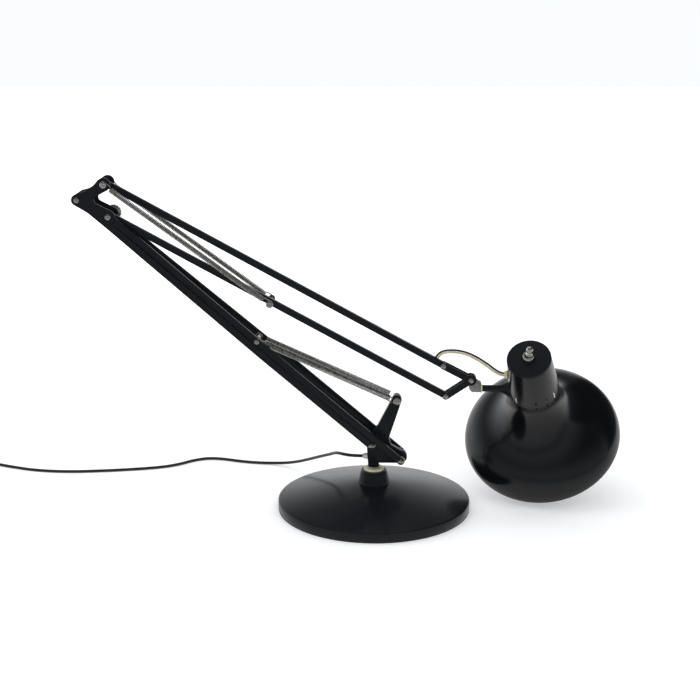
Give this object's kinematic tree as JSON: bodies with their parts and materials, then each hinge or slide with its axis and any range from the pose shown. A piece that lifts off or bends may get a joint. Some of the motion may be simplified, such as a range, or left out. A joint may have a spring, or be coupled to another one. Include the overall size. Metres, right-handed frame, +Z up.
{
  "type": "desk lamp",
  "caption": "Spring balanced desk lamp: parallelogram arms on a swivelling bracket over a round weighted base, with a tilting and turning dome shade.",
  "frame": {"origin": "centre of the base's underside, on the surface that the lamp stands on", "axes": "+Z up; the arms move in the XZ plane, with the elbow towards -X and the head towards +X"},
  "size_m": [0.8678, 0.2958, 0.3812],
  "materials": {
    "enamel": "satin",
    "shade_enamel": "satin",
    "cap_enamel": "satin",
    "base_enamel": "satin",
    "weight_iron": "rough",
    "felt": "matte",
    "bushing": "matte",
    "zinc": "satin",
    "pin_steel": "polished",
    "spacer_black": "satin",
    "brass": "polished",
    "spring_steel": "satin",
    "clear_bush": "satin",
    "cord_sheath": "satin",
    "pale_sheath": "satin",
    "plug_plastic": "gloss",
    "plug_brass": "polished",
    "switch_chrome": "polished",
    "switch_moulding": "gloss",
    "lamp_cap": "satin",
    "lamp_glass": "frosted"
  },
  "bodies": {
    "base": {"base_cover": "base_enamel", "base_weight": "weight_iron", "base_felt": "felt", "hub": "enamel", "hub_bushing": "bushing"},
    "swivel": {"spindle_nut": "zinc", "swivel_spindle": "zinc", "bracket": "enamel", "cable_bush": "clear_bush", "front_bar_pin": "pin_steel", "rear_bar_pin": "pin_steel", "bracket_spacers": "spacer_black", "bracket_washers": "brass", "lower_spring_post": "pin_steel", "mains_cord": "cord_sheath", "cord_coil": "cord_sheath", "cord_tie": "plug_plastic", "plug_body": "plug_plastic", "plug_pins": "plug_brass"},
    "front_bars": {"front_bar_near": "enamel", "front_bar_far": "enamel"},
    "rear_bars": {"rear_bar_near": "enamel", "rear_bar_far": "enamel", "lower_spring_pin": "pin_steel"},
    "lower_springs": {"lower_spring_near": "spring_steel", "lower_spring_far": "spring_steel"},
    "elbow": {"elbow_plate_near": "enamel", "elbow_plate_far": "enamel", "elbow_spacers": "spacer_black", "upper_bar_pin": "pin_steel", "front_elbow_pin": "pin_steel", "elbow_bolt": "pin_steel", "knob_washer": "pin_steel"},
    "knob": {"elbow_knob": "zinc"},
    "upper_springs": {"upper_spring_near": "spring_steel", "upper_spring_far": "spring_steel"},
    "top_arm": {"top_bar": "enamel"},
    "bottom_arm": {"bottom_bar": "enamel", "upper_spring_pin": "pin_steel"},
    "head_plates": {"head_plate_near": "enamel", "head_plate_far": "enamel", "top_bar_end_pin": "pin_steel", "head_pivot_pin": "pin_steel", "bottom_bar_end_pin": "pin_steel", "head_flex_dark": "cord_sheath", "head_flex_pale": "pale_sheath"},
    "knuckle": {"knuckle": "zinc", "knuckle_washer": "bushing"},
    "head": {"head_rod": "enamel", "shade": "shade_enamel", "shade_cap": "cap_enamel", "neck_grommet": "pale_sheath", "switch_ferrule": "switch_chrome", "switch_body": "switch_moulding", "lampholder": "switch_moulding", "bulb_cap": "lamp_cap", "bulb_glass": "lamp_glass"},
    "toggle": {"switch_toggle": "switch_chrome"}
  },
  "joints": [
    {"name": "swivel_turn", "type": "hinge", "parent": "base", "child": "swivel", "pos_m": [0, 0, 0.0482], "axis": [0, 0, 1], "range_deg": [-180, 180]},
    {"name": "lower_arm", "type": "hinge", "parent": "swivel", "child": "rear_bars", "pos_m": [0.03043, 0, 0.0623], "axis": [0, 1, 0], "range_deg": [0, 75], "deforming": ["lower_spring_near", "lower_spring_far"]},
    {"name": "front_bars_turn", "type": "hinge", "parent": "swivel", "child": "front_bars", "pos_m": [-0.00293, 0, 0.0805], "axis": [0, 1, 0], "range_deg": [0, 75]},
    {"name": "lower_spring_swing", "type": "hinge", "parent": "swivel", "child": "lower_springs", "pos_m": [0.0256, 0, 0.13], "axis": [0, 1, 0], "range_deg": [0, 103.77]},
    {"name": "elbow_turn", "type": "hinge", "parent": "rear_bars", "child": "elbow", "pos_m": [-0.29136, 0, 0.3384], "axis": [0, 1, 0], "range_deg": [-75, 0]},
    {"name": "knob_turn", "type": "hinge", "parent": "elbow", "child": "knob", "pos_m": [-0.29136, 0.02, 0.3384], "axis": [0, 1, 0], "range_deg": [-180, 180]},
    {"name": "upper_arm", "type": "hinge", "parent": "elbow", "child": "top_arm", "pos_m": [-0.29452, 0, 0.37379], "axis": [0, -1, 0], "range_deg": [0, 105], "deforming": ["upper_spring_near", "upper_spring_far"]},
    {"name": "bottom_bar_turn", "type": "hinge", "parent": "elbow", "child": "bottom_arm", "pos_m": [-0.29136, 0, 0.3384], "axis": [0, -1, 0], "range_deg": [0, 105]},
    {"name": "upper_spring_swing", "type": "hinge", "parent": "elbow", "child": "upper_springs", "pos_m": [-0.29452, 0, 0.37379], "axis": [0, -1, 0], "range_deg": [0, 108.72]},
    {"name": "head_plates_turn", "type": "hinge", "parent": "top_arm", "child": "head_plates", "pos_m": [0.07739, 0, 0.17018], "axis": [0, -1, 0], "range_deg": [-105, 0], "deforming": ["head_flex_dark", "head_flex_pale"]},
    {"name": "head_tilt", "type": "hinge", "parent": "head_plates", "child": "knuckle", "pos_m": [0.10859, 0, 0.15388], "axis": [0, -1, 0], "range_deg": [-8, 75], "deforming": ["head_flex_dark", "head_flex_pale"]},
    {"name": "head_turn", "type": "hinge", "parent": "knuckle", "child": "head", "pos_m": [0.12009, 0, 0.14353], "axis": [1, 0, 0], "range_deg": [-50, 130], "deforming": ["head_flex_dark", "head_flex_pale"]},
    {"name": "switch_flick", "type": "hinge", "parent": "head", "child": "toggle", "pos_m": [0.16905, -0.0371, 0.18826], "axis": [0, -0.7696, -0.6385], "range_deg": [0, 28]}
  ],
  "couplings": [
    {"joint": "front_bars_turn", "follows": "lower_arm", "ratio": 1},
    {"joint": "elbow_turn", "follows": "lower_arm", "ratio": -1},
    {"joint": "lower_spring_swing", "follows": "lower_arm", "ratio": 1.3835},
    {"joint": "bottom_bar_turn", "follows": "upper_arm", "ratio": 1},
    {"joint": "upper_spring_swing", "follows": "upper_arm", "ratio": 1.0354},
    {"joint": "head_plates_turn", "follows": "upper_arm", "ratio": -1}
  ]
}
